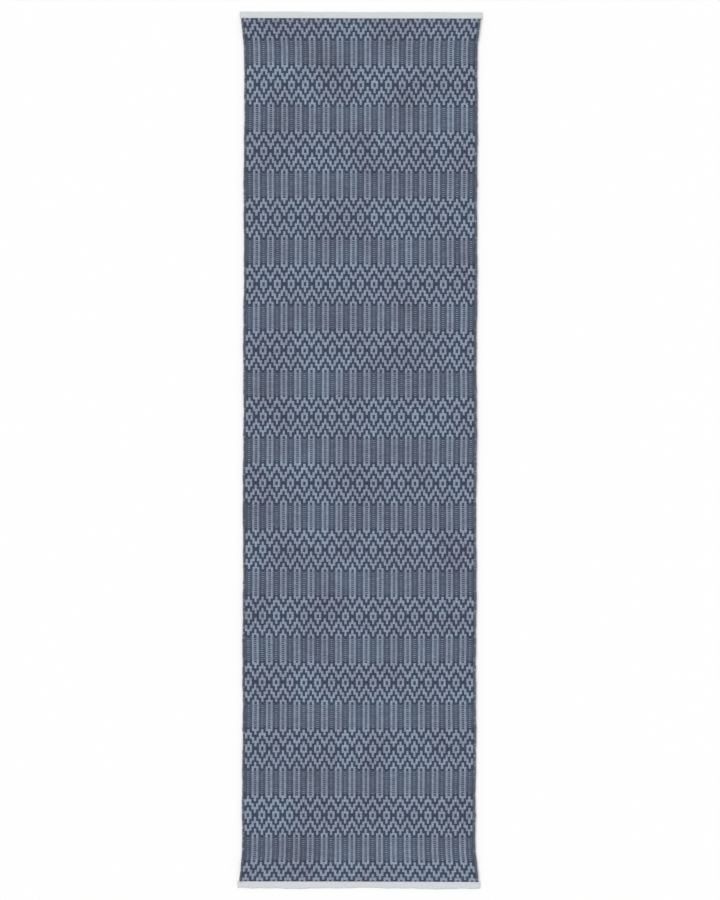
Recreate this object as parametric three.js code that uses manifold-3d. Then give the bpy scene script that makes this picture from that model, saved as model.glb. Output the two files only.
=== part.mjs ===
// A flat-woven runner rug, lying flat: one long patterned cloth, a corded selvedge down each side, and an
// undyed heading at each end that is folded under and sewn down.
// Millimetres. +X is across the rug, +Y along it towards the head end, +Z up off the floor. The origin is
// on the floor, under the middle of the rug.
import * as THREE from 'three';
import { mergeVertices } from 'three/addons/utils/BufferGeometryUtils.js';
import Module from 'manifold-3d';

const wasm = await Module();
wasm.setup();

// Driving dimensions.
const RUG_WIDTH = 650; // across both selvedges, along the middle of the rug
const PATTERN_LENGTH = 2402; // the patterned weave, from heading to heading
const CLOTH_THICKNESS = 5;
const CLOTH_CORNER_RADIUS = 0.8; // along the patterned cloth's sides
const END_SPREAD = 8; // how much further out each side lies at the very ends
const SPREAD_LENGTH = 96; // the stretch at each end over which the sides spread
const SELVEDGE_WIDTH = 7;
const SELVEDGE_THICKNESS = 5.6;
const SELVEDGE_CORNER_RADIUS = 2.5;
const EDGE_CORD_DIAMETER = 2.6;
const HEADING_DEPTH = 19; // what shows of the heading, beyond the pattern
const HEADING_THICKNESS = 1.8; // one layer of the heading's cloth
const HEADING_OVERHANG = 4; // how far the heading reaches past the selvedge at each side
const HEM_TURN = 36; // how far the heading is turned back under the pattern
const HEM_SETBACK = 3; // how far inside the rug's side the corners of the turned-back layer lie
const HEM_RAMP = 40; // the stretch over which the patterned cloth climbs onto the turned hem
const STITCH_INSET = 12; // from the end of the pattern to the hem's stitching
const STITCH_MARGIN = 6; // from the side of the patterned cloth to the end of the stitching
const THREAD_DIAMETER = 0.9;
const NEEDLE_THREAD_PROUD = 0.1; // how far the upper thread stands out of its furrow
const BOBBIN_THREAD_INSET = 0.1; // how far the lower thread is held up off the floor
const CLEARANCE = 0.3; // between any two pieces that touch

// What follows from them.
const HALF_WIDTH = RUG_WIDTH / 2;
const HALF_LENGTH = PATTERN_LENGTH / 2;
const CLOTH_HALF_WIDTH = HALF_WIDTH - SELVEDGE_WIDTH - CLEARANCE;
const SELVEDGE_CENTRE = HALF_WIDTH - SELVEDGE_WIDTH / 2;
const HEADING_HALF_WIDTH = HALF_WIDTH + END_SPREAD + HEADING_OVERHANG;
const HEM_HALF_WIDTH = HALF_WIDTH + spreadAt(HALF_LENGTH - HEM_TURN) - HEM_SETBACK; // at its turned-back edge
const HEM_LIFT = HEADING_THICKNESS + CLEARANCE; // the patterned cloth's height over the turned hem
const LIFTED_LENGTH = HEM_TURN + CLEARANCE; // the stretch at each end that lies at that height
const BEND_LENGTH = Math.max(SPREAD_LENGTH, LIFTED_LENGTH + HEM_RAMP);
const THREAD_RADIUS = THREAD_DIAMETER / 2;
const FURROW_RADIUS = THREAD_RADIUS + CLEARANCE;
const THREAD_HALF_LENGTH = CLOTH_HALF_WIDTH - STITCH_MARGIN;
const NEEDLE_THREAD_HEIGHT = HEM_LIFT + CLOTH_THICKNESS + NEEDLE_THREAD_PROUD - THREAD_RADIUS;
const BOBBIN_THREAD_HEIGHT = BOBBIN_THREAD_INSET + THREAD_RADIUS;

// How finely the bends at the ends and the plain middle of a lengthwise piece are divided.
const BEND_STEPS = 15;
const MIDDLE_STEPS = 4;
const CORNER_SEGMENTS = 2;
const CORD_SIDES = 10;
const THREAD_SIDES = 8;
const WELD_DISTANCE = 1e-4; // corners nearer than this are one corner

const YARN_ROUGHNESS = 0.9;

// How far the sides have spread at a place along the rug.
function spreadAt(y) {
  const inset = HALF_LENGTH - Math.abs(y);
  return END_SPREAD * THREE.MathUtils.smoothstep(1 - inset / SPREAD_LENGTH, 0, 1);
}

// How high the turned hem carries the patterned cloth at a place along the rug.
function liftAt(y) {
  const pastHem = HALF_LENGTH - Math.abs(y) - LIFTED_LENGTH;
  return HEM_LIFT * THREE.MathUtils.smoothstep(1 - pastHem / HEM_RAMP, 0, 1);
}

// The places along the rug, from head to foot, where a lengthwise piece has a ring of points.
function stationsAlong() {
  const middleHalf = HALF_LENGTH - BEND_LENGTH;
  const headBend = Array.from(
    { length: BEND_STEPS },
    (_, i) => HALF_LENGTH - (BEND_LENGTH * i) / BEND_STEPS,
  );
  const middle = Array.from(
    { length: MIDDLE_STEPS + 1 },
    (_, i) => middleHalf - (2 * middleHalf * i) / MIDDLE_STEPS,
  );
  const footBend = headBend.map((y) => -y).reverse();
  return [...headBend, ...middle, ...footBend];
}

const STATIONS = stationsAlong();

// A rectangle with rounded corners, centred across the rug at `x` and resting on the floor.
function roundedRectangle(x, width, height, radius) {
  const left = x - width / 2;
  const right = x + width / 2;
  const shape = new THREE.Shape();
  shape.moveTo(left + radius, 0);
  shape.lineTo(right - radius, 0);
  shape.absarc(right - radius, radius, radius, -Math.PI / 2, 0, false);
  shape.lineTo(right, height - radius);
  shape.absarc(right - radius, height - radius, radius, 0, Math.PI / 2, false);
  shape.lineTo(left + radius, height);
  shape.absarc(left + radius, height - radius, radius, Math.PI / 2, Math.PI, false);
  shape.lineTo(left, radius);
  shape.absarc(left + radius, radius, radius, Math.PI, 1.5 * Math.PI, false);
  return shape;
}

// The corners of a many-sided round of the given radius, for a cord, a thread, a bore or a furrow.
function roundPoints(x, y, radius, sides) {
  return Array.from({ length: sides }, (_, i) => {
    const angle = (2 * Math.PI * (i + 0.5)) / sides;
    return new THREE.Vector2(x + radius * Math.cos(angle), y + radius * Math.sin(angle));
  });
}

// A piece that runs along the whole pattern. The section's x is across the rug and its y is up. The piece
// spreads with the sides and climbs onto the hem at both ends, as the whole cloth does.
function alongRug(section) {
  const steps = STATIONS.length - 1;
  const geometry = new THREE.ExtrudeGeometry(section, {
    depth: steps,
    steps,
    curveSegments: CORNER_SEGMENTS,
    bevelEnabled: false,
  });
  const points = geometry.attributes.position;
  for (let i = 0; i < points.count; i += 1) {
    const y = STATIONS[Math.round(points.getZ(i))];
    const x = points.getX(i) * (1 + spreadAt(y) / HALF_WIDTH);
    const z = points.getY(i) + liftAt(y);
    points.setXYZ(i, x, y, z);
  }
  return geometry;
}

// A piece that runs straight across the head end. The section's x is the distance out from the end of the
// pattern and its y is up.
function acrossHead(section, halfLength) {
  const geometry = new THREE.ExtrudeGeometry(section, {
    depth: 2 * halfLength,
    steps: 1,
    curveSegments: 2 * CORNER_SEGMENTS,
    bevelEnabled: false,
  });
  const points = geometry.attributes.position;
  for (let i = 0; i < points.count; i += 1) {
    const x = points.getZ(i) - halfLength;
    const y = HALF_LENGTH + points.getX(i);
    const z = points.getY(i);
    points.setXYZ(i, x, y, z);
  }
  return geometry;
}

function toSolid(geometry) {
  const bare = geometry.clone();
  bare.deleteAttribute('normal');
  bare.deleteAttribute('uv');
  const merged = mergeVertices(bare, WELD_DISTANCE);
  return new wasm.Manifold(
    new wasm.Mesh({
      numProp: 3,
      vertProperties: new Float32Array(merged.attributes.position.array),
      triVerts: new Uint32Array(merged.index.array),
    }),
  );
}

function toGeometry(solid) {
  const mesh = solid.getMesh();
  const geometry = new THREE.BufferGeometry();
  geometry.setAttribute('position', new THREE.BufferAttribute(mesh.vertProperties, 3));
  geometry.setIndex(new THREE.BufferAttribute(mesh.triVerts, 1));
  geometry.computeVertexNormals();
  return geometry;
}

// The same piece at the foot end: the rug looks the same turned end for end.
function atFoot(geometry) {
  return geometry.clone().rotateZ(Math.PI);
}

// A thread of the hem's stitching, or with a larger radius and length the furrow that it lies in.
function hemThread(height, radius, halfLength) {
  return acrossHead(new THREE.Shape(roundPoints(-STITCH_INSET, height, radius, THREAD_SIDES)), halfLength);
}

function furrow(height) {
  return hemThread(height, FURROW_RADIUS, THREAD_HALF_LENGTH + CLEARANCE);
}

// The patterned cloth between the two selvedges, with the upper thread's furrow across each end.
function patternedCloth() {
  const section = roundedRectangle(0, 2 * CLOTH_HALF_WIDTH, CLOTH_THICKNESS, CLOTH_CORNER_RADIUS);
  const headFurrow = furrow(NEEDLE_THREAD_HEIGHT);
  const cloth = toSolid(alongRug(section))
    .subtract(toSolid(headFurrow))
    .subtract(toSolid(atFoot(headFurrow)));
  return toGeometry(cloth);
}

// The weft's turns round the edge cord, which make a firm sleeve down one side; side is 1 or -1.
function selvedgeWrap(side) {
  const x = side * SELVEDGE_CENTRE;
  const section = roundedRectangle(x, SELVEDGE_WIDTH, SELVEDGE_THICKNESS, SELVEDGE_CORNER_RADIUS);
  const boreRadius = EDGE_CORD_DIAMETER / 2 + CLEARANCE;
  section.holes.push(new THREE.Path(roundPoints(x, SELVEDGE_THICKNESS / 2, boreRadius, CORD_SIDES)));
  return alongRug(section);
}

// The stout cord at the edge of the warp, inside that sleeve.
function edgeCord(side) {
  const x = side * SELVEDGE_CENTRE;
  const outline = roundPoints(x, SELVEDGE_THICKNESS / 2, EDGE_CORD_DIAMETER / 2, CORD_SIDES);
  return alongRug(new THREE.Shape(outline));
}

// The heading's plain cloth: an upper layer that runs out from the pattern, a fold, and a lower layer that
// runs back under the pattern and narrows to stay hidden there, with the lower thread's furrow beneath.
function heading() {
  const foldRadius = HEADING_THICKNESS + CLEARANCE / 2;
  const foldCentre = HEADING_DEPTH - foldRadius;
  const section = new THREE.Shape();
  section.moveTo(CLEARANCE, HEM_LIFT);
  section.lineTo(foldCentre, HEM_LIFT);
  section.absarc(foldCentre, foldRadius, CLEARANCE / 2, Math.PI / 2, -Math.PI / 2, true);
  section.lineTo(-HEM_TURN, HEADING_THICKNESS);
  section.lineTo(-HEM_TURN, 0);
  section.lineTo(foldCentre, 0);
  section.absarc(foldCentre, foldRadius, foldRadius, -Math.PI / 2, Math.PI / 2, false);
  section.lineTo(CLEARANCE, 2 * foldRadius);
  const folded = acrossHead(section, HEADING_HALF_WIDTH);
  const points = folded.attributes.position;
  for (let i = 0; i < points.count; i += 1) {
    if (points.getY(i) < HALF_LENGTH) {
      points.setX(i, Math.sign(points.getX(i)) * HEM_HALF_WIDTH);
    }
  }
  return toGeometry(toSolid(folded).subtract(toSolid(furrow(BOBBIN_THREAD_HEIGHT))));
}

function cloth(color) {
  return new THREE.MeshStandardMaterial({ color, roughness: YARN_ROUGHNESS, metalness: 0 });
}

const rug = new THREE.Group();

function addPiece(name, geometry, colour) {
  const mesh = new THREE.Mesh(geometry, cloth(colour));
  mesh.name = name;
  rug.add(mesh);
}

const PATTERN_COLOUR = 0x67717f;
const EDGE_COLOUR = 0x545c68;
const UNDYED_COLOUR = 0xd2d4d5;
const THREAD_COLOUR = 0x3f4753;

addPiece('field_cloth', patternedCloth(), PATTERN_COLOUR);

for (const [sideName, side] of [['left', -1], ['right', 1]]) {
  addPiece(`selvedge_wrap_${sideName}`, selvedgeWrap(side), EDGE_COLOUR);
  addPiece(`edge_cord_${sideName}`, edgeCord(side), UNDYED_COLOUR);
}

const endPieces = {
  heading: [heading(), UNDYED_COLOUR],
  needle_thread: [hemThread(NEEDLE_THREAD_HEIGHT, THREAD_RADIUS, THREAD_HALF_LENGTH), THREAD_COLOUR],
  bobbin_thread: [hemThread(BOBBIN_THREAD_HEIGHT, THREAD_RADIUS, THREAD_HALF_LENGTH), THREAD_COLOUR],
};

for (const [pieceName, [geometry, colour]] of Object.entries(endPieces)) {
  addPiece(`head_${pieceName}`, geometry, colour);
  addPiece(`foot_${pieceName}`, atFoot(geometry), colour);
}

export default rug;
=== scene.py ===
"""A flat-woven runner rug, laid out on a pale floor and seen from straight above."""
import math

import bpy
import numpy as np
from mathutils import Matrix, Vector


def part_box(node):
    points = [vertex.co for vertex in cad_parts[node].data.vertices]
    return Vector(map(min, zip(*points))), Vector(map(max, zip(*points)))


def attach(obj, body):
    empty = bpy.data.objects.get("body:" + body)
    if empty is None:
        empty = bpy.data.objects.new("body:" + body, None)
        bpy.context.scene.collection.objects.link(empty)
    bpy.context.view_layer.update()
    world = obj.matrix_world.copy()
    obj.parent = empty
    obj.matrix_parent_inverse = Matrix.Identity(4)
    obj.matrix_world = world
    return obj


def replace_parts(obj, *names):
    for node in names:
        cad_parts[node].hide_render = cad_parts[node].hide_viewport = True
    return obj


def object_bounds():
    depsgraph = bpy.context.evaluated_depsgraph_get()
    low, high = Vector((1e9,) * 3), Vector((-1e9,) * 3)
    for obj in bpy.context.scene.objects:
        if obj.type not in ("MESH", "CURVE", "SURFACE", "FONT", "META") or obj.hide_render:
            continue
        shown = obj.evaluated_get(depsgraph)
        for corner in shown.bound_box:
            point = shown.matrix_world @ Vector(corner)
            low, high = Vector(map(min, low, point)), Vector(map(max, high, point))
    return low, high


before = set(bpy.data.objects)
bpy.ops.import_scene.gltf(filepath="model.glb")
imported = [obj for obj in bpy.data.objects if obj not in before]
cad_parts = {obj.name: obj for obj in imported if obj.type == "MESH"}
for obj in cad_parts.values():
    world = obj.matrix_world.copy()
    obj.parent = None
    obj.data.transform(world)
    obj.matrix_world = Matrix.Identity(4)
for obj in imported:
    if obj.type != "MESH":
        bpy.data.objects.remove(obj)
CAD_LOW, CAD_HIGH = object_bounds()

MM = 0.001
RNG = np.random.default_rng(7)  # one seeded stream of draws, so that every run gives the same rug

# The weave. Ribs run along the rug, one over each warp. The weft covers them in beads, and a row of the
# pattern is a few beads deep. The pattern mirrors about the middle of each band, and about the middle rib.
RIBS = 99
REPEATS = 13
ROWS_PER_REPEAT = 34
ROWS = REPEATS * ROWS_PER_REPEAT
TWILL_ROWS = 6  # rows in one turn of the zigzag
ZIGZAG_RIBS = 3  # ribs from one turn of the threading to the next
CHECK_HALF_ROWS = 11  # rows of zigzag on each side of a check band's middle
HALF_FLOAT = 1.1  # in the zigzag, the light weft shows this many rows to each side of a rib's middle row
LIGHT_SHAFT = 1.0  # in a stripe band, the ribs on this shaft are light
BEADS_PER_ROW = 3
MAIN_BEAD = 0.84  # a stripe's own bead takes this much of the height, and the other weft peeps out above it
VALLEY_DEPTH = 0.9 * MM  # between neighbouring ribs
RIB_STEPS = 4  # strips of faces over one rib
FIRMNESS_CHANGE = 0.12  # how much the valleys' depth changes from place to place
FIRMNESS_ACROSS, FIRMNESS_ALONG = 1.7, 23  # that change's phase over one rib, and over a metre of length

# The yarns' colours, as sRGB on a scale of 1.
LIGHT_YARN = (0.555, 0.598, 0.678)
DARK_YARN = (0.212, 0.261, 0.349)
EDGE_YARN = (0.325, 0.355, 0.405)
HEATHER = (0.68, 0.71, 0.76)  # stray pale fibres in both yarns
UNDYED_COTTON = (0.84, 0.865, 0.885)
AGED_COTTON = (0.825, 0.83, 0.83)  # where the undyed cotton has greyed
SEWING_THREAD = (0.42, 0.45, 0.52)
FLOOR_PAINT = (0.945, 0.945, 0.945)
WARM_LOT, COOL_LOT = (1.05, 0.985, 0.985), (0.955, 1.01, 1.0)  # tints of two lots of the same dye

# How all the yarns take the light.
YARN_SPECULAR = 0.15
SHEEN_ROUGHNESS = 0.6

# How the cloth lies. A ripple is given by its depth, its length along the rug, its skew and its phase, and a
# sway of the sides by its depth, its length and its phase.
RIPPLES = ((0.9 * MM, 0.61, 0.35, 0.4), (0.7 * MM, 0.37, -0.5, 2.1), (0.4 * MM, 0.19, 0.2, 4.0))
RIPPLE_FADE = 0.16  # the stretch at each end over which the ripples die away
SWAYS = ((0.7 * MM, 0.43, 0.3), (0.45 * MM, 0.117, 1.9), (0.25 * MM, 0.041, 4.4))
SWAY_LIMIT = 1.1  # the sways stop growing this many half widths out
WEFT_BOW = 0.8 * MM  # how far the rows bow along the rug
BOW_ACROSS, BOW_ALONG = 2.6, 3.1  # the bow's phase over half the width, and over each metre of length
END_TAPER = 6 * MM  # the stretch over which the pattern thins down to the heading
END_THICKNESS = 2.6 * MM
FURROW_DEPTH = 0.6 * MM  # how far the hem's stitching pulls the cloth in
FURROW_WIDTH = 1.1 * MM


def linear(colour):
    """An sRGB colour as the linear one that shaders take."""
    return tuple(c / 12.92 if c <= 0.04045 else ((c + 0.055) / 1.055) ** 2.4 for c in colour)


def ease(t):
    """From 0 to 1 with a gentle start and end."""
    t = np.clip(t, 0, 1)
    return t * t * (3 - 2 * t)


# ---------------------------------------------------------------- where the cloth lies

WHOLE_RING = 0.9  # rings of the solid's corners that are less deep than this share are cut by a furrow


def read_outline():
    """The patterned cloth's half width and its underside and top along the rug, from its CAD solid."""
    points = np.array([v.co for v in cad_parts["field_cloth"].data.vertices])
    places = points[:, 1].round(5)
    middle_depth = points[:, 2][np.abs(points[:, 1]) < 1 * MM].max()
    outline = []
    for along in np.unique(places):
        ring = points[places == along]
        low, high = ring[:, 2].min(), ring[:, 2].max()
        if high - low > WHOLE_RING * middle_depth:
            outline.append((along, np.abs(ring[:, 0]).max(), low, high))
    return np.array(outline).T


ALONG, HALF_WIDTHS, UNDERSIDES, TOPS = read_outline()
HALF_LENGTH = ALONG.max()
CLOTH_HALF_WIDTH = HALF_WIDTHS.min()
THICKNESS = TOPS.min() - UNDERSIDES.min()
HEM_LIFT = UNDERSIDES.max()
END_SPREAD = HALF_WIDTHS.max() / CLOTH_HALF_WIDTH
STITCH_INSET = HALF_LENGTH - sum(corner.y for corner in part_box("head_needle_thread")) / 2


def ripple(across, along):
    """How far the cloth lies off the floor, in long low waves that die away towards the hems."""
    waves = sum(
        depth * 0.5 * (1 + np.sin(2 * math.pi * (along / length + across * skew) + phase))
        for depth, length, skew, phase in RIPPLES
    )
    return waves * ease((HALF_LENGTH - np.abs(along)) / RIPPLE_FADE)


def sway(across, along):
    """How far a side wanders in and out, which fades towards the middle of the rug."""
    side = np.sign(across)
    wander = sum(
        depth * np.sin(2 * math.pi * along / length + phase * (2 + side))
        for depth, length, phase in SWAYS
    )
    return wander * np.minimum(np.abs(across) / CLOTH_HALF_WIDTH, SWAY_LIMIT) ** 3


def lay(across, along, height):
    """Places points of the straight, flat cloth where they lie: spread at the ends, up over the hem."""
    spread = np.interp(along, ALONG, HALF_WIDTHS) / CLOTH_HALF_WIDTH
    x = across * spread + sway(across, along)
    bow = np.cos(BOW_ACROSS * across / CLOTH_HALF_WIDTH) * np.sin(BOW_ALONG * along)
    y = along + WEFT_BOW * bow
    z = height + np.interp(along, ALONG, UNDERSIDES) + ripple(across, along)
    return np.stack(np.broadcast_arrays(x, y, z), axis=-1)


# ---------------------------------------------------------------- meshes

def grid_faces(rings, around, closed):
    """The quads between rings of points, each ring joined to its own start if closed."""
    i, j = np.meshgrid(np.arange(rings - 1), np.arange(around if closed else around - 1), indexing="ij")
    k = (j + 1) % around
    quads = np.stack([i * around + j, i * around + k, (i + 1) * around + k, (i + 1) * around + j], axis=-1)
    return quads.reshape(-1, 4)


def mesh_piece(name, points, faces, material):
    """A smooth-shaded mesh object that rides on the rug."""
    mesh = bpy.data.meshes.new(name)
    mesh.from_pydata(np.asarray(points).reshape(-1, 3).tolist(), [], [list(map(int, f)) for f in faces])
    mesh.polygons.foreach_set("use_smooth", [True] * len(mesh.polygons))
    mesh.materials.append(material)
    mesh.update()
    piece = bpy.data.objects.new(name, mesh)
    bpy.context.scene.collection.objects.link(piece)
    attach(piece, "root")
    return piece


def add_vectors(piece, name, vectors):
    """Stores a vector on each point of a piece, which its material reads."""
    attribute = piece.data.attributes.new(name, "FLOAT_VECTOR", "POINT")
    attribute.data.foreach_set("vector", np.asarray(vectors, dtype=np.float32).reshape(-1))


# ---------------------------------------------------------------- materials

class Nodes:
    """A material's nodes, written as calls that take and return sockets or plain numbers."""

    def __init__(self, name):
        self.material = bpy.data.materials.new(name)
        self.material.use_nodes = True
        self.tree = self.material.node_tree
        self.shader = self.tree.nodes["Principled BSDF"]

    def put(self, value, socket):
        if isinstance(value, bpy.types.NodeSocket):
            self.tree.links.new(value, socket)
        else:
            socket.default_value = value

    def math(self, operation, *values):
        node = self.tree.nodes.new("ShaderNodeMath")
        node.operation = operation
        for value, socket in zip(values, node.inputs):
            self.put(value, socket)
        return node.outputs[0]

    def add(self, a, b):
        return self.math("ADD", a, b)

    def times(self, a, b):
        return self.math("MULTIPLY", a, b)

    def blend(self, share, a, b):
        """From a to b as share goes from 0 to 1."""
        return self.add(a, self.times(share, self.math("SUBTRACT", b, a)))

    def is_near(self, value, centre, reach):
        return self.math("COMPARE", value, centre, reach)

    def dome(self, place):
        """1 at the middle of each whole step of place, and 0 at its ends."""
        off = self.math("ABSOLUTE", self.math("MULTIPLY_ADD", self.math("FRACT", place), 2.0, -1.0))
        return self.math("SUBTRACT", 1.0, self.times(off, off))

    def vector(self, x, y, z=0.0):
        node = self.tree.nodes.new("ShaderNodeCombineXYZ")
        for value, socket in zip((x, y, z), node.inputs):
            self.put(value, socket)
        return node.outputs[0]

    def attribute(self, name):
        """The three parts of a vector stored on the mesh."""
        node = self.tree.nodes.new("ShaderNodeAttribute")
        node.attribute_name = name
        parts = self.tree.nodes.new("ShaderNodeSeparateXYZ")
        self.tree.links.new(node.outputs["Vector"], parts.inputs[0])
        return parts.outputs

    def noise(self, vector, detail, roughness=0.5):
        """Smooth noise about 0, from about -0.5 to 0.5."""
        node = self.tree.nodes.new("ShaderNodeTexNoise")
        node.inputs["Scale"].default_value = 1.0
        node.inputs["Detail"].default_value = detail
        node.inputs["Roughness"].default_value = roughness
        self.tree.links.new(vector, node.inputs["Vector"])
        return self.math("SUBTRACT", node.outputs[0], 0.5)

    def grain(self, a, b, side, scales, detail=2.0, roughness=0.5):
        """Noise with so many waves to each unit of a and of b, which differs from side to side."""
        place = self.vector(self.times(a, scales[0]), self.times(b, scales[1]), side)
        return self.noise(place, detail, roughness)

    def chance(self, vector):
        """A different number for each place, from 0 to 1."""
        node = self.tree.nodes.new("ShaderNodeTexWhiteNoise")
        self.tree.links.new(vector, node.inputs["Vector"])
        return node.outputs[0]

    def mix(self, share, a, b):
        """From colour a to colour b."""
        node = self.tree.nodes.new("ShaderNodeMix")
        node.data_type = "RGBA"
        self.put(share, node.inputs["Factor"])
        for value, socket in ((a, node.inputs["A"]), (b, node.inputs["B"])):
            self.put(value if isinstance(value, bpy.types.NodeSocket) else (*value, 1), socket)
        return node.outputs["Result"]

    def multiply(self, colour, tint):
        node = self.tree.nodes.new("ShaderNodeVectorMath")
        node.operation = "MULTIPLY"
        self.put(colour, node.inputs[0])
        self.put(tint, node.inputs[1])
        return node.outputs[0]

    def shade(self, colour, brightness):
        """A colour made brighter or darker."""
        node = self.tree.nodes.new("ShaderNodeVectorMath")
        node.operation = "SCALE"
        self.put(colour, node.inputs[0])
        self.put(brightness, node.inputs["Scale"])
        return node.outputs[0]

    def finish(self, colour, relief, relief_depth, roughness=0.9, sheen=0.2):
        """Joins colour and relief to the shader, and gives the finished material."""
        bump = self.tree.nodes.new("ShaderNodeBump")
        bump.inputs["Distance"].default_value = relief_depth
        self.put(relief, bump.inputs["Height"])
        self.put(bump.outputs[0], self.shader.inputs["Normal"])
        self.put(colour, self.shader.inputs["Base Color"])
        self.put(roughness, self.shader.inputs["Roughness"])
        self.shader.inputs["Specular IOR Level"].default_value = YARN_SPECULAR
        self.shader.inputs["Sheen Weight"].default_value = sheen
        self.shader.inputs["Sheen Roughness"].default_value = SHEEN_ROUGHNESS
        return self.material


def pattern_share(n, rib, row, side):
    """Where the light weft shows (1) and where the dark one does (0).

    Also gives the rib's number, the place along it in beads, the place within a bead from 0 to 1, and
    whether that bead is a sliver of the other weft.

    The shafts are threaded in a zigzag across the ribs. In a check band each row lifts the next shafts, so
    the light weft draws a zigzag. In a stripe band they stay: some ribs are light and some dark, each with
    a sliver of the other weft between its beads, and the ribs where the threading turns have one bead in
    three light.
    """
    rib_index = n.math("FLOOR", rib)
    from_middle = n.math("ABSOLUTE", n.math("SUBTRACT", rib_index, (RIBS - 1) / 2))
    turn = n.math("FLOORED_MODULO", from_middle, 2 * ZIGZAG_RIBS)
    shaft = n.math("ABSOLUTE", n.math("SUBTRACT", turn, ZIGZAG_RIBS))
    half_bead = 0.5 / BEADS_PER_ROW
    staggered = n.add(row, n.times(n.math("FLOORED_MODULO", rib_index, 2.0), half_bead))
    bead = n.times(staggered, BEADS_PER_ROW)
    band_row = n.math("FLOOR", n.math("PINGPONG", staggered, ROWS_PER_REPEAT / 2))
    step = n.math("SUBTRACT", n.add(band_row, 1.0), n.times(shaft, 2.0))
    twill = n.is_near(n.math("FLOORED_MODULO", step, TWILL_ROWS), TWILL_ROWS / 2, HALF_FLOAT)
    one_in_three = n.math("LESS_THAN", n.math("FLOORED_MODULO", n.math("FLOOR", bead), 3.0), 0.5)
    at_turn = n.math("GREATER_THAN", n.math("ABSOLUTE", n.math("SUBTRACT", shaft, ZIGZAG_RIBS / 2)), 1.0)
    stripes = n.add(n.is_near(shaft, LIGHT_SHAFT, 0.1), n.times(at_turn, one_in_three))
    in_stripes = n.math("GREATER_THAN", band_row, CHECK_HALF_ROWS - 0.5)
    light = n.blend(in_stripes, twill, stripes)

    up_the_bead = n.math("FRACT", bead)
    plain_stripe = n.times(in_stripes, n.is_near(shaft, ZIGZAG_RIBS / 2, 0.6))
    main = n.blend(plain_stripe, 1.0, MAIN_BEAD)
    sliver = n.math("GREATER_THAN", up_the_bead, main)
    above = n.math("DIVIDE", n.math("SUBTRACT", up_the_bead, main), 1 - MAIN_BEAD)
    within = n.blend(sliver, n.math("DIVIDE", up_the_bead, main), above)
    underneath = n.math("LESS_THAN", side, 0.0)
    swapped = n.math("ABSOLUTE", n.math("SUBTRACT", sliver, underneath))
    return n.math("ABSOLUTE", n.math("SUBTRACT", light, swapped)), rib_index, bead, within, sliver


def field_material():
    """Weft-faced wool: beads of light and dark blue yarn, each a little different, with loose fibres."""
    n = Nodes("field_weave")
    rib, row, side = n.attribute("weave")

    # The rows drift as the weft is beaten in, and each bead sits a little off its place.
    drift = n.grain(rib, row, side, (0.21, 0.17))
    beaten = n.grain(rib, row, side, (1.1, 0.9), detail=1.0)
    uneven_row = n.add(row, n.add(n.times(drift, 0.5), n.times(beaten, 0.16)))
    light, rib_index, bead, within, sliver = pattern_share(n, rib, uneven_row, side)

    # What differs from bead to bead, from pick to pick and from one part of the rug to another.
    across_dome, bead_dome = n.dome(rib), n.dome(within)
    bead_index = n.math("FLOOR", bead)
    each_bead = n.math("SUBTRACT", n.chance(n.vector(rib_index, bead_index, side)), 0.5)
    each_pick = n.grain(rib, bead_index, side, (0.12, 0.7))
    dye_lot = n.grain(rib, row, side, (0.05, 0.04), detail=3.0, roughness=0.6)

    # The yarn's two plies slant across each bead, its fibres follow them, and pale flecks lie between.
    across_ply = n.add(bead, n.times(rib, 2.6))
    along_ply = n.math("SUBTRACT", rib, n.times(bead, 0.4))
    ply = n.times(n.dome(across_ply), bead_dome)
    fibres = n.grain(across_ply, along_ply, side, (3.2, 1.6), detail=5.0, roughness=0.75)
    fleck = n.grain(rib, bead, n.add(side, 4.0), (9.0, 7.0))

    yarn = n.mix(light, linear(DARK_YARN), linear(LIGHT_YARN))
    heather = n.math("SMOOTH_MAX", 0.0, n.times(n.math("SUBTRACT", fleck, 0.12), 2.2), 0.05)
    heathered = n.mix(heather, yarn, linear(HEATHER))
    tint = n.mix(n.add(0.5, n.times(dye_lot, 3.6)), WARM_LOT, COOL_LOT)
    tinted = n.multiply(heathered, tint)

    # Light falls off into the hollows between beads, and the relief is round over each bead.
    hollow_shade = n.times(n.math("POWER", bead_dome, 0.35), n.math("POWER", across_dome, 0.2))
    dye_change = n.add(n.times(each_pick, 0.75), n.times(dye_lot, 0.65))
    # Painted shade: each ply is lighter along its crest and darker where it meets the next, and the fibres
    # vary the tone at random.
    ply_shade_and_fibres = n.add(n.times(ply, 0.16), n.times(fibres, 1.1))
    brightness = n.add(
        n.blend(hollow_shade, 0.42, 1.0),
        n.add(n.times(each_bead, 0.3), n.add(dye_change, ply_shade_and_fibres)),
    )
    rounding = n.times(n.math("SQRT", bead_dome), n.blend(across_dome, 0.5, 1.0))
    rounding = n.times(rounding, n.blend(sliver, 1.0, 0.4))
    relief = n.add(rounding, n.add(n.times(ply, 0.3), n.times(fibres, 0.9)))
    return n.finish(n.shade(tinted, brightness), relief, 0.6 * MM, sheen=0.15)


# ---------------------------------------------------------------- the patterned cloth

BEND = 0.1  # the stretch at each end over which the cloth climbs and spreads
TAPER_ROWS = (0, 1, 2, 3.2, 4.6, 6.2, 8.4)  # in millimetres from the end
FURROW_ROWS = (-1.6, -0.8, 0, 0.8, 1.6)  # in millimetres from the stitching
FIRST_HEM_ROW, HEM_ROW_STEP = 16, 6  # in millimetres
MIDDLE_ROWS = 70


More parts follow.
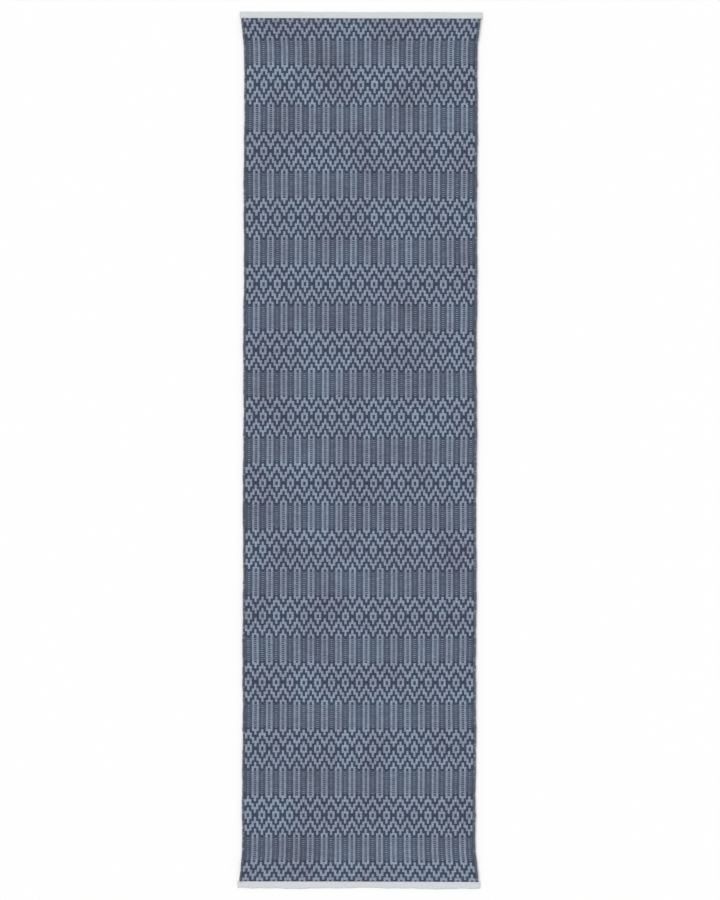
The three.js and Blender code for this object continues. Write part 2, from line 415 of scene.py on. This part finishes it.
def rows_along():
    """Where the cloth has a row of points: close together over the hems, further apart between."""
    near_end = np.concatenate([
        np.array(TAPER_ROWS) * MM,
        STITCH_INSET + np.array(FURROW_ROWS) * MM,
        np.arange(FIRST_HEM_ROW, BEND / MM, HEM_ROW_STEP) * MM,
    ])
    middle = np.linspace(-HALF_LENGTH + BEND, HALF_LENGTH - BEND, MIDDLE_ROWS)
    return np.concatenate([-HALF_LENGTH + near_end, middle, (HALF_LENGTH - near_end)[::-1]])


def field_cloth():
    """The patterned sheet, ribbed on both faces."""
    rib = np.linspace(0, RIBS, RIBS * RIB_STEPS + 1)
    across = (rib / RIBS * 2 - 1) * CLOTH_HALF_WIDTH
    along = rows_along()
    crest = np.sqrt(np.clip(1 - (2 * (rib % 1) - 1) ** 2, 0, 1))
    firm = FIRMNESS_CHANGE * np.sin(rib * FIRMNESS_ACROSS)[None, :] * np.sin(along * FIRMNESS_ALONG)[:, None]
    inset = HALF_LENGTH - np.abs(along)
    thick = END_THICKNESS + (THICKNESS - END_THICKNESS) * ease(inset / END_TAPER)
    thick -= FURROW_DEPTH * np.exp(-(((inset - STITCH_INSET) / FURROW_WIDTH) ** 2))
    valley = VALLEY_DEPTH * (1 - crest)[None, :] * (1 + firm)
    top = lay(across[None, :], along[:, None], thick[:, None] - valley)
    under = lay(across[None, :], along[:, None], valley)
    points = np.concatenate([top, under[:, ::-1]], axis=1)
    count = len(rib)
    faces = grid_faces(len(along), 2 * count, closed=True).tolist()
    j = np.arange(count - 1)
    foot = np.stack([j, 2 * count - 1 - j, 2 * count - 2 - j, j + 1], axis=-1)
    head = foot[:, ::-1] + (len(along) - 1) * 2 * count
    piece = mesh_piece("field_cloth_woven", points, [*faces, *foot, *head], field_material())
    row = (along / HALF_LENGTH + 1) / 2 * ROWS
    both = np.concatenate([rib, rib[::-1]])
    side = np.concatenate([np.ones(count), -np.ones(count)])
    weave = np.broadcast_arrays(both[None, :], row[:, None], side[None, :])
    add_vectors(piece, "weave", np.stack(weave, axis=-1))
    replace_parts(piece, "field_cloth")
    return piece


# ---------------------------------------------------------------- the edges

SELVEDGE_TURNS = ROWS * 2
TURN_RINGS = 4  # rings of points along one turn of the yarn
SLEEVE_SIDES = 10
TURN_HOLLOW, TURN_BULGE = 0.80, 0.17  # the sleeve's radius between turns, and its rise over one, as shares
TURN_CHANGE = 0.05  # how much that radius differs from turn to turn
CORD_CLEARANCE = 0.3 * MM  # between the cord and the bore that it lies in

# The few loops of a selvedge that stand out slack, or are drawn in.
LOOSE_LOOPS = 26
LOOP_PLACES = (0.03, 0.97)  # shares of the rug's length
LOOP_SIZES = (0.10, 0.42)  # shares of the selvedge's half width
LOOP_KINDS = (1, 1, -0.6)  # two slack to one drawn in
LOOP_LENGTHS = (0.6, 2.2)  # in turns

CORD_RINGS = 1201
CORD_SIDES = 9
CORD_LAY = 14 * MM  # the length of one full twist
STRAND_HOLLOW, STRAND_BULGE = 0.88, 0.12  # the cord's radius over its three strands, as shares
CORD_FIBRE = 4 * MM  # one unit of length in the cord's material


def selvedge_size():
    """A selvedge's middle, half width and half height, where the rug is at its plain width."""
    low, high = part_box("selvedge_wrap_right")
    outer = high.x / END_SPREAD
    height = high.z - HEM_LIFT - low.z
    return (low.x + outer) / 2, (outer - low.x) / 2, height / 2


SELVEDGE_CENTRE, SELVEDGE_HALF_WIDTH, SELVEDGE_HALF_HEIGHT = selvedge_size()


def edge_cord_radius():
    """The edge cord's radius, from its CAD solid less its climb onto the hem."""
    low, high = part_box("edge_cord_right")
    return (high.z - HEM_LIFT - low.z) / 2


def selvedge_material():
    """Weft yarn wound round the edge cord, mostly dark, a little browner than the field."""
    n = Nodes("selvedge_yarn")
    round_it, turn, side = n.attribute("wound")
    fibres = n.grain(round_it, turn, side, (2.5, 5.0), detail=4.0, roughness=0.65)
    patches = n.noise(n.vector(n.times(turn, 0.03), side), 3.0)
    each_turn = n.chance(n.vector(n.math("FLOOR", turn), side))
    light = n.times(n.math("GREATER_THAN", each_turn, 0.86), 0.6)
    yarn = n.mix(light, linear(EDGE_YARN), linear(LIGHT_YARN))
    # Painted shade: the yarn is darker in the hollows between turns and between its plies, and lighter on
    # their crests.
    hollow_shade = n.math("POWER", n.dome(turn), 0.4)
    ply = n.times(n.dome(n.add(turn, n.times(round_it, 1.9))), n.dome(turn))
    change = n.add(n.times(fibres, 0.9), n.add(n.times(patches, 0.5), n.times(each_turn, 0.2)))
    brightness = n.add(n.blend(hollow_shade, 0.5, 0.9), n.add(n.times(ply, 0.16), change))
    relief = n.add(n.math("SQRT", n.dome(turn)), n.add(n.times(ply, 0.3), n.times(fibres, 0.6)))
    return n.finish(n.shade(yarn, brightness), relief, 0.5 * MM)


def selvedge(name, side, material):
    """A sleeve of weft turns down one side, with a bore for the edge cord and a few slack loops."""
    rings = SELVEDGE_TURNS * TURN_RINGS + 1
    turn = np.linspace(0, SELVEDGE_TURNS, rings)
    angle = np.linspace(0, 2 * math.pi, SLEEVE_SIDES, endpoint=False)
    along = (turn / SELVEDGE_TURNS * 2 - 1) * HALF_LENGTH
    bulge = TURN_HOLLOW + TURN_BULGE * np.abs(np.sin(math.pi * turn))
    each = np.repeat(RNG.uniform(-TURN_CHANGE, TURN_CHANGE, SELVEDGE_TURNS + 1), TURN_RINGS)[:rings]
    slack = np.zeros(rings)
    for place in RNG.uniform(*LOOP_PLACES, LOOSE_LOOPS) * (rings - 1):
        size = RNG.uniform(*LOOP_SIZES) * RNG.choice(LOOP_KINDS)
        reach = TURN_RINGS * RNG.uniform(*LOOP_LENGTHS)
        slack += size * np.exp(-(((np.arange(rings) - place) / reach) ** 2))
    outward = np.maximum(side * np.cos(angle), 0)[None, :]
    swollen = (bulge + each)[:, None] * (1 + slack[:, None] * outward)
    across = side * SELVEDGE_CENTRE + SELVEDGE_HALF_WIDTH * np.cos(angle)[None, :] * swollen
    height = SELVEDGE_HALF_HEIGHT * (1 + np.sin(angle)[None, :] * (bulge + each)[:, None])
    # A turn leans by a quarter of its pitch to each side.
    slant = 0.5 * HALF_LENGTH / SELVEDGE_TURNS * np.cos(angle)[None, :]
    within = np.clip(along[:, None] + slant, -HALF_LENGTH, HALF_LENGTH)
    outer = lay(across, within, height)

    bore_along = rows_along()
    bore_radius = edge_cord_radius() + CORD_CLEARANCE
    bore_across = side * SELVEDGE_CENTRE + bore_radius * np.cos(angle)
    bore = lay(
        bore_across[None, :],
        bore_along[:, None],
        SELVEDGE_HALF_HEIGHT + bore_radius * np.sin(angle)[None, :],
    )
    # Counted round as seen from the foot end, the outer wall turns one way and the bore the other.
    outer_faces = grid_faces(rings, SLEEVE_SIDES, closed=True)[:, ::-1]
    bore_faces = grid_faces(len(bore_along), SLEEVE_SIDES, closed=True) + outer.shape[0] * SLEEVE_SIDES
    j = np.arange(SLEEVE_SIDES)
    k = (j + 1) % SLEEVE_SIDES
    bore_start = rings * SLEEVE_SIDES
    foot = np.stack([j, k, bore_start + k, bore_start + j], axis=-1)
    outer_end = (rings - 1) * SLEEVE_SIDES
    bore_end = bore_start + (len(bore_along) - 1) * SLEEVE_SIDES
    head = np.stack([bore_end + j, bore_end + k, outer_end + k, outer_end + j], axis=-1)
    points = np.concatenate([outer.reshape(-1, 3), bore.reshape(-1, 3)])
    piece = mesh_piece(name, points, [*outer_faces, *bore_faces, *foot, *head], material)
    bore_turn = (bore_along / HALF_LENGTH + 1) / 2 * SELVEDGE_TURNS
    turns = np.repeat(np.concatenate([turn, bore_turn]), SLEEVE_SIDES)
    rounds = np.tile(np.abs(angle - math.pi), rings + len(bore_along))
    add_vectors(piece, "wound", np.stack([rounds, turns, np.full(len(turns), side)], axis=-1))
    return piece


def twisted_cord(name, side, material):
    """The stout cord inside a selvedge: three strands of undyed cotton laid together."""
    along = np.linspace(-HALF_LENGTH, HALF_LENGTH, CORD_RINGS)
    angle = np.linspace(0, 2 * math.pi, CORD_SIDES, endpoint=False)
    twist = 2 * math.pi * along / CORD_LAY
    radius = edge_cord_radius() * (STRAND_HOLLOW + STRAND_BULGE * np.cos(3 * angle))
    turned = angle[None, :] + twist[:, None]
    points = lay(
        side * SELVEDGE_CENTRE + radius * np.cos(turned),
        np.repeat(along[:, None], CORD_SIDES, axis=1),
        SELVEDGE_HALF_HEIGHT + radius * np.sin(turned),
    )
    count = CORD_RINGS * CORD_SIDES
    foot, head = list(range(CORD_SIDES)), list(range(count - 1, count - CORD_SIDES - 1, -1))
    faces = [*grid_faces(CORD_RINGS, CORD_SIDES, closed=True)[:, ::-1], foot, head]
    piece = mesh_piece(name, points, faces, material)
    strand = np.stack(np.broadcast_arrays(angle[None, :], along[:, None] / CORD_FIBRE, side), axis=-1)
    add_vectors(piece, "wound", strand)
    return piece


# ---------------------------------------------------------------- the ends

YARN_PITCH = 1.5 * MM  # between neighbouring threads of the heading, both ways
CRIMP = 0.22 * MM  # how far the heading's threads rise and fall
FOLD_STEPS = 6
HEM_FURROW_ROWS = (1.4, 0.7, 0, -0.7, -1.4)  # in millimetres from the stitching
WANDER_LENGTHS = (0.41, 0.13, 0.047, 0.019)  # of the waves that a heading's edge wanders in
HEAD_WANDER = 0.35 * MM
FOOT_WANDER = 1.3 * MM


def heading_path():
    """The heading's middle surface from the pattern's end, out, round the fold and back under the hem.

    Gives, for points a thread apart: the distance out from the pattern, the height, and the direction
    that the upper face looks in. The fold's place and the layers' thickness come from the CAD solid.
    """
    low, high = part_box("head_heading")
    gap = 2 * HEM_LIFT - (high.z - low.z)
    layer = HEM_LIFT - gap
    fold_radius = (high.z - low.z) / 2 - layer / 2
    fold_out = high.y - HALF_LENGTH - (high.z - low.z) / 2
    fold_height = (high.z - low.z) / 2
    turned_back = low.y - HALF_LENGTH
    out = np.arange(gap, fold_out, YARN_PITCH)
    turn = np.linspace(0, math.pi, FOLD_STEPS)
    back = np.arange(fold_out - YARN_PITCH, turned_back, -2 * YARN_PITCH)
    furrow = -STITCH_INSET + np.array(HEM_FURROW_ROWS) * MM
    back = np.concatenate([back[back > furrow[0]], furrow, back[back < furrow[-1]]])
    distance = np.concatenate([out, fold_out + fold_radius * np.sin(turn), back, [turned_back]])
    height = np.concatenate([
        np.full(len(out), fold_height + fold_radius),
        fold_height + fold_radius * np.cos(turn),
        np.full(len(back) + 1, fold_height - fold_radius),
    ])
    facing = np.concatenate([np.zeros(len(out)), turn, np.full(len(back) + 1, math.pi)])
    return distance, height, facing, layer


def heading_material():
    """Undyed cotton in plain weave: threads over and under each other, with slubs and a little grey."""
    n = Nodes("undyed_cotton")
    across, along, side = n.attribute("woven")
    warp_dome, weft_dome = n.dome(across), n.dome(along)
    parity = n.math("FLOORED_MODULO", n.add(n.math("FLOOR", across), n.math("FLOOR", along)), 2.0)
    over = n.blend(parity, warp_dome, weft_dome)
    slubs = n.grain(across, along, side, (0.9, 0.25), detail=3.0)
    fibres = n.grain(across, along, side, (5.0, 5.0), detail=3.0, roughness=0.7)
    grime = n.grain(across, along, side, (0.03, 0.03))
    change = n.add(n.times(slubs, 0.22), n.add(n.times(fibres, 0.18), n.times(grime, 0.10)))
    # Painted shade: each thread is darker at its sides, where it dips under the next, and lighter on its
    # crest.
    brightness = n.add(n.blend(n.math("POWER", over, 0.4), 0.74, 1.04), change)
    cotton = n.mix(n.add(0.5, grime), linear(UNDYED_COTTON), linear(AGED_COTTON))
    relief = n.add(n.math("SQRT", over), n.times(fibres, 0.4))
    return n.finish(n.shade(cotton, brightness), relief, 0.35 * MM, sheen=0.15)


def cord_material():
    """Undyed cotton cord, with fibres that run round its strands."""
    n = Nodes("edge_cord_cotton")
    round_it, along, side = n.attribute("wound")
    fibres = n.grain(round_it, along, side, (2.0, 4.0), detail=4.0, roughness=0.7)
    brightness = n.add(0.95, n.times(fibres, 0.5))
    cotton = n.mix(n.add(0.5, fibres), linear(UNDYED_COTTON), linear(AGED_COTTON))
    return n.finish(n.shade(cotton, brightness), fibres, 0.3 * MM)


def heading(name, node, end, wander, material):
    """The undyed plain-woven strip at one end (end is 1 at the head and -1 at the foot)."""
    distance, height, facing, layer = heading_path()
    half_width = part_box(node)[1].x
    across = np.linspace(-half_width, half_width, int(2 * half_width / YARN_PITCH) + 1)
    solid = np.abs([v.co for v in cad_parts[node].data.vertices])
    hem_half_width = solid[solid[:, 1] < solid[:, 1].min() + 1 * MM][:, 0].max()
    lower = facing == math.pi
    narrowing = (1 - hem_half_width / half_width) * lower * (distance.max() - distance) / np.ptp(distance)
    furrow = FURROW_DEPTH * lower * np.exp(-(((distance + STITCH_INSET) / FURROW_WIDTH) ** 2))
    phases = RNG.uniform(0, 2 * math.pi, len(WANDER_LENGTHS))
    uneven = sum(
        wander / (i + 1) * np.sin(2 * math.pi * across / length + phases[i])
        for i, length in enumerate(WANDER_LENGTHS)
    )
    reach = np.clip(distance / distance.max(), 0, 1)
    count = len(distance)
    over = np.where((np.arange(len(across))[:, None] + np.arange(count)[None, :]) % 2 == 0, 1.0, -1.0)
    over[0, :] = over[-1, :] = 0
    over[:, 0] = over[:, -1] = 0
    faces_out = []
    for face in (1, -1):
        off = face * (layer / 2 - CRIMP) + CRIMP * over
        out = distance[None, :] + off * np.sin(facing)[None, :] + uneven[:, None] * reach[None, :]
        up = height[None, :] + off * np.cos(facing)[None, :] + (furrow if face == 1 else 0)
        x = across[:, None] * (1 - narrowing[None, :])
        faces_out.append(np.stack([end * x, end * (HALF_LENGTH + out), np.maximum(up, 0)], axis=-1))
    outer, inner = faces_out
    points = np.concatenate([outer, inner[:, ::-1]], axis=1)
    around = 2 * count
    j = np.arange(count - 1)
    first = np.stack([j, j + 1, around - 2 - j, around - 1 - j], axis=-1)
    last = first[:, ::-1] + (len(across) - 1) * around
    faces = [*grid_faces(len(across), around, closed=True)[:, ::-1], *first[:, ::-1], *last[:, ::-1]]
    piece = mesh_piece(name, points, faces, material)
    run = np.concatenate([[0], np.cumsum(np.hypot(np.diff(distance), np.diff(height)))])
    both = np.concatenate([run, run[::-1]]) / YARN_PITCH
    woven = np.broadcast_arrays(across[:, None] / YARN_PITCH, both[None, :], float(end))
    add_vectors(piece, "woven", np.stack(woven, axis=-1))
    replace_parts(piece, node)


STITCH = 4.4 * MM
STITCH_PLACES = (0.0, 0.05, 0.12, 0.28, 0.5, 0.72, 0.88, 0.95)  # shares of a stitch's length
STITCH_DEPTHS = (1.0, 0.55, 0.12, 0.0, -0.03, 0.0, 0.12, 0.55)  # how deep the thread is there, of its dip
STITCH_SLANT = 0.16 * MM  # how far a stitch's ends lie to the two sides of its middle
STITCH_CHANGE = 0.10 * MM  # how far a stitch lies to the side of the next
NEEDLE_DIP = -1.3 * MM  # the upper thread dives down into the cloth
BOBBIN_DIP = 0.5 * MM
THREAD_SIDES = 8
THREAD_PLY = 0.8 * MM  # the length of one turn of the thread's plies


def thread_material():
    """Spun sewing thread: two fine plies, with a slight sheen."""
    n = Nodes("sewing_thread")
    round_it, along, side = n.attribute("wound")
    ply = n.dome(n.add(n.times(along, 1.0), n.times(round_it, 0.32)))
    fibres = n.grain(round_it, along, side, (2.0, 6.0), detail=3.0, roughness=0.6)
    # Painted shade and highlight: the thread is darker between its plies and lighter on their crests.
    brightness = n.add(n.blend(n.math("POWER", ply, 0.5), 0.65, 1.15), n.times(fibres, 0.4))
    dye = n.mix(n.add(0.5, fibres), linear(SEWING_THREAD), linear(EDGE_YARN))
    return n.finish(n.shade(dye, brightness), n.add(ply, n.times(fibres, 0.3)), 0.2 * MM, roughness=0.6)


def stitched_thread(name, node, dip, material):
    """A row of lockstitches: the thread lies in its furrow and dives into the cloth between stitches."""
    low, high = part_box(node)
    radius = (high.y - low.y) / 2
    middle = (low + high) / 2
    unevenness = np.random.default_rng(len(name))
    stitches = round((high.x - low.x) / STITCH)
    step = (high.x - low.x) / stitches
    x = np.array([low.x + step * (i + place) for i in range(stitches) for place in STITCH_PLACES] + [high.x])
    z = middle.z + np.array([dip * depth for _ in range(stitches) for depth in STITCH_DEPTHS] + [dip])
    per_stitch = len(STITCH_PLACES)
    y = middle.y + STITCH_SLANT * np.sin(2 * math.pi * np.arange(len(x)) / per_stitch + 0.7)
    y += STITCH_CHANGE * np.repeat(unevenness.uniform(-1, 1, stitches + 1), per_stitch)[: len(x)]
    slope = np.arctan2(np.gradient(z), np.gradient(x))
    angle = np.linspace(0, 2 * math.pi, THREAD_SIDES, endpoint=False)
    points = np.stack(
        np.broadcast_arrays(
            x[:, None] - radius * np.sin(angle)[None, :] * np.sin(slope)[:, None],
            y[:, None] + radius * np.cos(angle)[None, :],
            z[:, None] + radius * np.sin(angle)[None, :] * np.cos(slope)[:, None],
        ),
        axis=-1,
    )
    count = len(x) * THREAD_SIDES
    ends = [list(range(THREAD_SIDES))[::-1], list(range(count - THREAD_SIDES, count))]
    faces = [*grid_faces(len(x), THREAD_SIDES, closed=True)[:, ::-1], *ends]
    piece = mesh_piece(name, points, faces, material)
    wound = np.broadcast_arrays(angle[None, :], (x / THREAD_PLY)[:, None], 0.0)
    add_vectors(piece, "wound", np.stack(wound, axis=-1))
    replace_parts(piece, node)


# ---------------------------------------------------------------- the scene

FLOOR_REACH = 300.0
FLOOR_ROUGHNESS = 0.95
FLOOR_SPECULAR = 0.1
CAMERA_HEIGHT = 6.0
CAMERA_OFFSET = 0.5 * MM
VIEW_ROLL = math.radians(0.15)  # the rug lies very slightly askew in the view
VIEW_MARGIN = 1.0274  # the frame is this much taller than the rug
SENSOR = 36  # along the frame's longer side, in millimetres
LIGHT_ALL_ROUND = 0.78
LAMP_ENERGY = 1.5
LAMP_ANGLE = math.radians(35)  # how wide the lamp looks from the rug
LAMP_DIRECTION = (0.75, -0.55, -1.0)


def add_camera():
    """Straight above the rug, far enough back that the view is nearly square on."""
    data = bpy.data.cameras.new("camera")
    camera = bpy.data.objects.new("camera", data)
    bpy.context.scene.collection.objects.link(camera)
    bpy.context.scene.camera = camera
    rug_length = CAD_HIGH.y - CAD_LOW.y
    data.sensor_width = SENSOR
    data.lens = SENSOR * CAMERA_HEIGHT / (rug_length * VIEW_MARGIN)
    data.clip_end = 2 * FLOOR_REACH
    camera.location = (CAMERA_OFFSET, 0, CAMERA_HEIGHT)
    camera.rotation_euler.z = VIEW_ROLL


def add_stage():
    """A pale matt floor, even light from all round and one large soft lamp."""
    mesh = bpy.data.meshes.new("floor")
    corners = [(x * FLOOR_REACH, y * FLOOR_REACH, 0) for x, y in ((-1, -1), (1, -1), (1, 1), (-1, 1))]
    mesh.from_pydata(corners, [], [(0, 1, 2, 3)])
    floor = bpy.data.objects.new("floor", mesh)
    bpy.context.scene.collection.objects.link(floor)
    paint = bpy.data.materials.new("floor_paint")
    paint.use_nodes = True
    shader = paint.node_tree.nodes["Principled BSDF"]
    shader.inputs["Base Color"].default_value = (*linear(FLOOR_PAINT), 1)
    shader.inputs["Roughness"].default_value = FLOOR_ROUGHNESS
    shader.inputs["Specular IOR Level"].default_value = FLOOR_SPECULAR
    mesh.materials.append(paint)

    world = bpy.data.worlds.new("studio")
    world.use_nodes = True
    background = world.node_tree.nodes["Background"]
    background.inputs["Color"].default_value = (1, 1, 1, 1)
    background.inputs["Strength"].default_value = LIGHT_ALL_ROUND
    bpy.context.scene.world = world

    lamp_data = bpy.data.lights.new("soft_lamp", "SUN")
    lamp_data.energy = LAMP_ENERGY
    lamp_data.angle = LAMP_ANGLE
    lamp = bpy.data.objects.new("soft_lamp", lamp_data)
    lamp.rotation_euler = Vector(LAMP_DIRECTION).to_track_quat("-Z", "Y").to_euler()
    bpy.context.scene.collection.objects.link(lamp)
    bpy.context.scene.view_settings.view_transform = "Standard"


add_camera()
add_stage()
cloth = field_cloth()

edge_yarn, cord_cotton = selvedge_material(), cord_material()
for word, side in (("left", -1), ("right", 1)):
    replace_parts(selvedge(f"selvedge_turns_{word}", side, edge_yarn), f"selvedge_wrap_{word}")
    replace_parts(twisted_cord(f"twisted_cord_{word}", side, cord_cotton), f"edge_cord_{word}")

plain_weave, spun_thread = heading_material(), thread_material()
for word, end, wander in (("head", 1, HEAD_WANDER), ("foot", -1, FOOT_WANDER)):
    heading(f"{word}_plain_heading", f"{word}_heading", end, wander, plain_weave)
    stitched_thread(f"{word}_needle_stitches", f"{word}_needle_thread", NEEDLE_DIP, spun_thread)
    stitched_thread(f"{word}_bobbin_stitches", f"{word}_bobbin_thread", BOBBIN_DIP, spun_thread)
